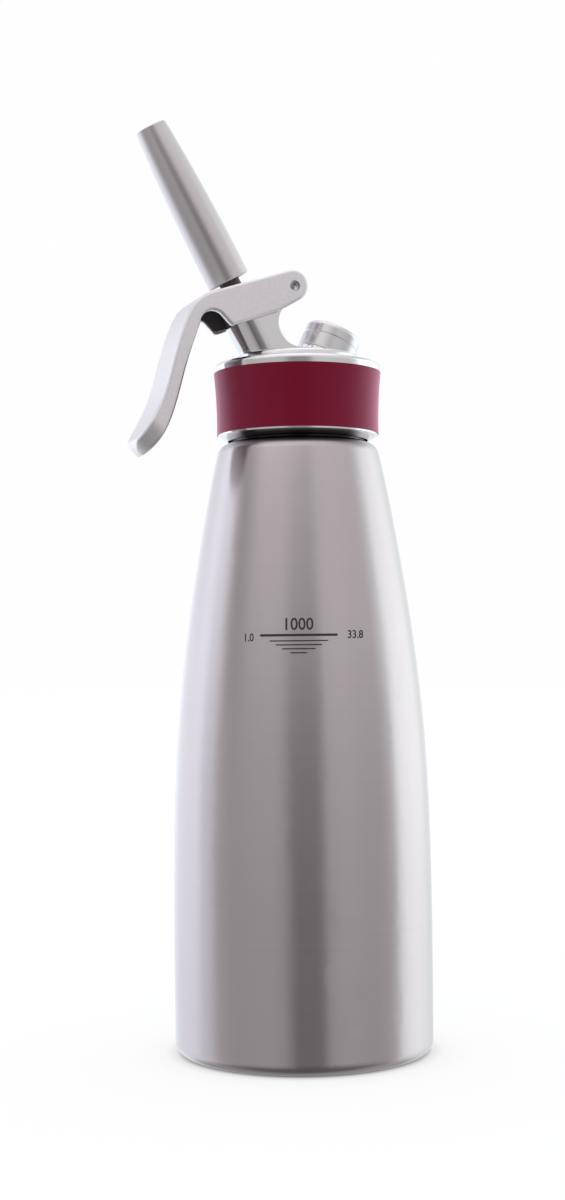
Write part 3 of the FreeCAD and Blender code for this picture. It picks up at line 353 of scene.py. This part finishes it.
# Black plastic for the stem cap and the nozzle adapter; on the lever insert it is painted shade, a dark piece where
# the inside of the lever's fork lies in shadow.
black_plastic_and_fork_shade = plastic("black_plastic_and_fork_shade", (0.070, 0.062, 0.065), 0.45, depth=0.02, spread=0.02, even=True)
black_rubber = plastic("black_rubber", (0.02, 0.02, 0.02), 0.6)
red_seal = plastic("red_seal", (0.30, 0.02, 0.04), 0.5)
white_plastic = plastic("white_plastic", (0.72, 0.70, 0.66), 0.45)
silicone = plastic("silicone", (0.146, 0.0006, 0.0145), 0.24, specular=0.08, depth=0.02, spread=0.012, even=True)
dusk = next(node for node in silicone.node_tree.nodes if node.type == "BSDF_PRINCIPLED")
dusk.inputs["Sheen Weight"].default_value = 1.0
dusk.inputs["Sheen Roughness"].default_value = 0.48
dusk.inputs["Sheen Tint"].default_value = (1.0, 0.35, 0.58, 1)
mark_ink = plastic("mark_ink", (0.035, 0.032, 0.034), 0.55, specular=0.3)

wear("bottle", steel)
wear("head_body", head_satin)
wear("silicone_band", silicone)
wear("head_seal", red_seal)
wear("valve_stem", turned_steel)
wear("stem_cap", black_plastic_and_fork_shade)
wear("stem_o_rings", black_rubber)
wear("valve_washer", black_rubber)
wear("washer_nut", turned_steel)
wear("stem_guide", white_plastic)
wear("valve_spring", wire_steel)
wear("nozzle_adapter", black_plastic_and_fork_shade)
wear("nozzle_seal", black_rubber)
wear("decorator_nozzle", nozzle_brushed)
wear("lever", lever_satin)
# Painted shade: the black insert fills the shadow inside the lever's fork.
wear("lever_insert", black_plastic_and_fork_shade)
wear("lever_pin", pin_steel)
wear("gas_port", port_steel)
wear("port_seal", black_rubber)
wear("piercing_pin", port_steel)
wear("charger_seal", black_rubber)
wear("check_ball", turned_steel)
wear("check_spring", wire_steel)
wear("check_plug", port_steel)
wear("protective_cap", cap_satin)
wear("cap_liner", white_plastic)

# ------------------------------------------------------------------ springs ----
# The two wire springs stand on their floors under the valve and the non-return ball.


def spring(name, node, start, axis, side, ring, wire, low, high, turns):
    """A round-wire spring from low to high along axis, with even turns."""
    across = axis.cross(side).normalized()
    pitch = (high - low) / turns
    bm = bmesh.new()
    rows = []
    steps, corners = int(turns * 48), 12
    for k in range(steps + 1):
        t = 2 * math.pi * turns * k / steps
        out = side * math.cos(t) + across * math.sin(t)
        run = (across * math.cos(t) - side * math.sin(t)) * ring + axis * (pitch / (2 * math.pi))
        run.normalize()
        up = run.cross(out).normalized()
        middle = start + axis * (low + (high - low) * k / steps) + out * ring
        rows.append([bm.verts.new(middle + (out * math.cos(c) + up * math.sin(c)) * wire)
                     for c in (2 * math.pi * j / corners for j in range(corners))])
    for a, b in zip(rows, rows[1:]):
        for j in range(corners):
            bm.faces.new((a[j], a[(j + 1) % corners], b[(j + 1) % corners], b[j]))
    bm.faces.new(rows[0])
    bm.faces.new(rows[-1])
    bmesh.ops.recalc_face_normals(bm, faces=bm.faces)
    mesh = bpy.data.meshes.new(name)
    bm.to_mesh(mesh)
    bm.free()
    for face in mesh.polygons:
        face.use_smooth = len(face.vertices) == 4
    piece = bpy.data.objects.new(name, mesh)
    bpy.context.collection.objects.link(piece)
    mesh.materials.append(wire_steel)
    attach(piece, "head")
    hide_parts(node)
    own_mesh(piece)
    return piece


spring("valve_coil", "valve_spring", V0, W, E, 0.00535, 0.00042, 0.00945, 0.02025, 5.0)
spring("check_coil", "check_spring", B0, Q, Vector((math.cos(PORT), 0.0, -math.sin(PORT))), 0.0013, 0.0002,
       -0.01055, -0.00885, 3.0)

# ---------------------------------------------------------------- fill mark ----
# A printed fill scale on the bottle's front: a long line at 153 mm, four
# shorter ones stepping down under it and plain numbers beside and above it.
MARK_Z = 0.1531
MARK_TURN = TURN + math.radians(0.6)
PROUD, SUNK = 0.00006, -0.00003
bottle = NODES["bottle"]
to_bottle = bottle.matrix_world.inverted()


def wall(turn, z):
    """Distance of the bottle's outer wall from its axis, at a turn about the
    axis from the front and a height."""
    out = Vector((-math.sin(turn), -math.cos(turn), 0.0))
    start = to_bottle @ (out * 0.09 + Vector((0.0, 0.0, z)))
    hit, where, _, _ = bottle.ray_cast(start, (to_bottle.to_3x3() @ -out).normalized())
    return (bottle.matrix_world @ where).xy.length if hit else 0.043


BOTTLE_WALL = {}


def wrapped(u, z, depth):
    """The point at arc length u to the right of the mark's middle."""
    key = round(z, 5)
    if key not in BOTTLE_WALL:
        BOTTLE_WALL[key] = wall(MARK_TURN, z)
    r = BOTTLE_WALL[key]
    turn = MARK_TURN - u / r
    return Vector((-math.sin(turn) * (r + depth), -math.cos(turn) * (r + depth), z))


def ink_piece(name, bm):
    bmesh.ops.recalc_face_normals(bm, faces=bm.faces)
    mesh = bpy.data.meshes.new(name)
    bm.to_mesh(mesh)
    bm.free()
    piece = bpy.data.objects.new(name, mesh)
    bpy.context.collection.objects.link(piece)
    mesh.materials.append(mark_ink)
    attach(piece, "bottle")
    return piece


def mark_line(name, left, right, z, thick):
    """A thin printed line from u = left to u = right, with rounded ends."""
    bm = bmesh.new()
    count = max(12, int((right - left) / 0.0004))
    rows = []
    for k in range(count + 1):
        u = left + (right - left) * k / count
        end = min(u - left, right - u)
        half = thick / 2 * math.sqrt(max(0.04, 1.0 - max(0.0, 1.0 - end / (thick / 2)) ** 2))
        rows.append([bm.verts.new(wrapped(u, z + dz, depth)) for dz, depth in
                     ((-half, SUNK), (-half, PROUD), (half, PROUD), (half, SUNK))])
    for a, b in zip(rows, rows[1:]):
        for k in range(4):
            bm.faces.new((a[k], a[(k + 1) % 4], b[(k + 1) % 4], b[k]))
    bm.faces.new(rows[0])
    bm.faces.new(rows[-1][::-1])
    return ink_piece(name, bm)


def mark_number(name, text, u, z, tall, width=1.0):
    """Plain digits, wrapped round the wall; u is the middle, z the foot."""
    curve = bpy.data.curves.new(name + "_curve", "FONT")
    curve.body = text
    curve.align_x = "CENTER"
    curve.resolution_u = 4
    curve.size = 1.0
    curve.extrude = 0.5
    curve.offset = 0.013
    carrier = bpy.data.objects.new(name + "_curve", curve)
    bpy.context.collection.objects.link(carrier)
    bpy.context.view_layer.update()
    flat = bpy.data.meshes.new_from_object(carrier.evaluated_get(bpy.context.evaluated_depsgraph_get()))
    bpy.data.objects.remove(carrier)
    bm = bmesh.new()
    bm.from_mesh(flat)
    bmesh.ops.triangulate(bm, faces=bm.faces)
    bmesh.ops.remove_doubles(bm, verts=bm.verts, dist=0.0005)
    top = max(v.co.y for v in bm.verts)
    for v in bm.verts:
        depth = PROUD if v.co.z > 0 else SUNK
        v.co = wrapped(u + v.co.x * tall / top * width, z + v.co.y * tall / top, depth)
    return ink_piece(name, bm)


mark_line("mark_full", -0.0140, 0.0140, MARK_Z, 0.00085)
for n, (half, drop) in enumerate(((0.0105, 0.0020), (0.0083, 0.0034), (0.0060, 0.0048), (0.0031, 0.0062))):
    mark_line("mark_step_%d" % (n + 1), -half, half, MARK_Z - drop, 0.00042)
mark_number("mark_top", "1000", -0.0002, MARK_Z + 0.0019, 0.0042, 0.92)
mark_number("mark_left", "1.0", -0.0183, MARK_Z - 0.0020, 0.0028, 0.85)
mark_number("mark_right", "33.8", 0.0208, MARK_Z - 0.0012, 0.0028, 0.95)

# -------------------------------------------------------------- floor, light ----
bpy.ops.mesh.primitive_circle_add(vertices=96, radius=6.0, fill_type="NGON", location=(0, 0, -0.0002))
floor = bpy.context.object
floor.name = "floor"
fm, n, shader = material("floor_white")
p = object_point(n)
reach = n.vec("LENGTH", n.vec("MULTIPLY", p, (1.0, 1.0, 0.0)))
# Painted contact shadow: the floor's colour and glow darken in a ring round the bottle's foot.
painted_contact_shadow = n.ramp(n.math("MULTIPLY", reach, 10.0), [(0.0, 0.10), (0.43, 0.10), (0.447, 0.42), (0.472, 0.84), (0.515, 0.975), (0.62, 1.0)])
n.link(n.mix(1.0, painted_contact_shadow, (0.20, 0.20, 0.20), "MULTIPLY"), shader.inputs["Base Color"])
n.link(painted_contact_shadow, shader.inputs["Emission Color"])
shader.inputs["Roughness"].default_value = 0.9
shader.inputs["Specular IOR Level"].default_value = 0.0
shader.inputs["Emission Strength"].default_value = 0.82
floor.data.materials.append(fm)
floor.visible_glossy = False

# Studio: white behind the object, a white panel at each side and a black flag
# where the camera stands.  Angles are measured from the camera, plus to its
# right.  Three rings of light, one below, one at and one above the eye level.
world = bpy.data.worlds.new("studio")
scene.world = world
world.use_nodes = True
world.node_tree.nodes.clear()
n = Nodes(world.node_tree)
d = n.add("ShaderNodeTexCoord").outputs["Generated"]
to_camera = (-math.sin(TURN), -math.cos(TURN), 0.0)
to_right = (math.cos(TURN), -math.sin(TURN), 0.0)
angle = n.math("ARCTAN2", n.vec("DOT_PRODUCT", d, to_right), n.vec("DOT_PRODUCT", d, to_camera))
place = n.math("ADD", n.math("DIVIDE", angle, 2 * math.pi), 0.5)


def lit(level, side):
    """Light of one level: cool on the left, neutral grey in the middle."""
    if side == "L":
        return (level * 0.935, level, level * 1.075)
    if side == "l":
        return (level * 1.0, level, level * 1.02)
    if side == "R":
        return (level * 0.925, level, level * 1.005)
    return (level, level, level)


def ring(stops):
    """One ring of light from (degrees, level, side) stops."""
    return n.ramp(place, [(0.5 + deg / 360.0, lit(level, side)) for deg, level, side in stops])


low = ring([
    (-180, 1.06, "L"), (-140, 1.04, "L"), (-114, 1.06, "L"), (-106, 0.98, "L"), (-101, 0.80, "L"), (-91, 0.68, "L"),
    (-86, 0.52, "C"), (-81, 0.41, "C"), (-74, 0.395, "C"), (-66, 0.395, "C"), (-50, 0.41, "C"), (-30, 0.43, "C"),
    (-17, 0.40, "C"), (-10, 0.31, "C"), (-6, 0.14, "C"), (2, 0.145, "C"), (6, 0.175, "C"), (13, 0.165, "C"),
    (17, 0.24, "C"), (22, 0.48, "C"), (30, 0.50, "C"), (45, 0.50, "C"), (60, 0.44, "C"), (75, 0.45, "C"),
    (86, 0.50, "C"), (93, 0.68, "R"), (98, 1.12, "R"), (107, 1.30, "R"), (120, 1.36, "R"), (140, 1.14, "R"),
    (158, 0.92, "R"), (180, 1.0, "R")])
mid = ring([
    (-180, 1.15, "L"), (-140, 1.26, "L"), (-110, 1.32, "L"), (-104, 1.18, "L"), (-100, 0.98, "L"), (-90, 0.86, "L"),
    (-86, 0.76, "C"), (-81, 0.57, "C"), (-74, 0.54, "C"), (-64, 0.50, "C"), (-50, 0.49, "C"), (-30, 0.51, "C"),
    (-20, 0.49, "C"), (-15, 0.37, "C"), (-9, 0.225, "C"), (14, 0.23, "C"), (19, 0.34, "C"), (24, 0.55, "C"),
    (42, 0.58, "C"), (60, 0.54, "C"), (76, 0.52, "C"), (84, 0.62, "C"), (90, 0.80, "R"), (95, 1.28, "R"),
    (104, 1.54, "R"), (120, 1.60, "R"), (136, 1.52, "R"), (150, 1.10, "R"), (180, 1.0, "R")])
high = ring([
    (-180, 0.80, "l"), (-150, 0.81, "l"), (-132, 1.14, "L"), (-118, 1.46, "L"), (-95, 1.48, "L"), (-89, 1.25, "L"),
    (-84, 0.90, "C"), (-78, 0.54, "C"), (-72, 0.34, "C"), (-64, 0.40, "C"), (-53, 0.59, "C"), (-38, 0.62, "C"),
    (-20, 0.63, "C"), (-12, 0.55, "C"), (-5, 0.49, "C"), (11, 0.48, "C"), (16, 0.57, "C"), (22, 0.70, "C"),
    (36, 0.76, "C"), (60, 0.75, "C"), (76, 0.78, "C"), (84, 0.92, "R"), (90, 1.18, "R"), (98, 1.42, "R"),
    (125, 1.48, "R"), (142, 1.15, "R"), (160, 0.95, "R"), (180, 0.98, "R")])
upper = ring([
    (-180, 1.00, "L"), (-151, 0.95, "L"), (-117, 0.74, "L"), (-92, 0.62, "C"), (-69, 0.86, "C"), (-48, 1.00, "C"),
    (-30, 0.90, "C"), (-14, 0.90, "C"), (0, 0.86, "C"), (12, 0.78, "C"), (60, 0.76, "C"), (87, 0.72, "C"),
    (113, 0.68, "R"), (151, 0.90, "R"), (180, 1.0, "R")])
under = ring([
    (-180, 1.06, "L"), (-147, 1.10, "L"), (-117, 1.06, "L"), (-94, 0.92, "L"), (-84, 0.72, "C"), (-75, 0.56, "C"),
    (-57, 0.47, "C"), (-26, 0.46, "C"), (-13, 0.36, "C"), (-6, 0.20, "C"), (19, 0.18, "C"), (31, 0.40, "C"),
    (75, 0.43, "C"), (86, 0.50, "C"), (99, 1.0, "R"), (120, 1.2, "R"), (158, 0.92, "R"), (180, 1.0, "R")])
below = ring([
    (-180, 0.40, "C"), (-140, 0.40, "C"), (-112, 0.44, "C"), (-92, 0.26, "C"), (-62, 0.12, "C"), (62, 0.12, "C"),
    (86, 0.26, "C"), (102, 0.50, "C"), (140, 0.46, "C"), (180, 0.40, "C")])
height = n.xyz(d)[2]
sky = n.mix(n.span(height, -0.19, -0.03, 0.0, 1.0, smooth=True), low, mid)
sky = n.mix(n.span(height, 0.02, 0.42, 0.0, 1.0, smooth=True), sky, high)
sky = n.mix(n.span(height, 0.38, 0.54, 0.0, 1.0, smooth=True), sky, upper)
sky = n.mix(n.span(height, 0.72, 0.95, 0.0, 1.0, smooth=True), sky, (1.18, 1.17, 1.20))
sky = n.mix(n.span(height, -0.32, -0.22, 1.0, 0.0, smooth=True), sky, under)
sky = n.mix(n.span(height, -0.68, -0.42, 1.0, 0.0, smooth=True), sky, below)
light = n.add("ShaderNodeBackground")
n.link(sky, light.inputs["Color"])
plain = n.add("ShaderNodeBackground")
plain.inputs["Color"].default_value = (0.998, 0.994, 0.998, 1)
both = n.add("ShaderNodeMixShader")
n.link(n.add("ShaderNodeLightPath").outputs["Is Camera Ray"], both.inputs[0])
n.link(light.outputs[0], both.inputs[1])
n.link(plain.outputs[0], both.inputs[2])
n.link(both.outputs[0], n.add("ShaderNodeOutputWorld").inputs["Surface"])
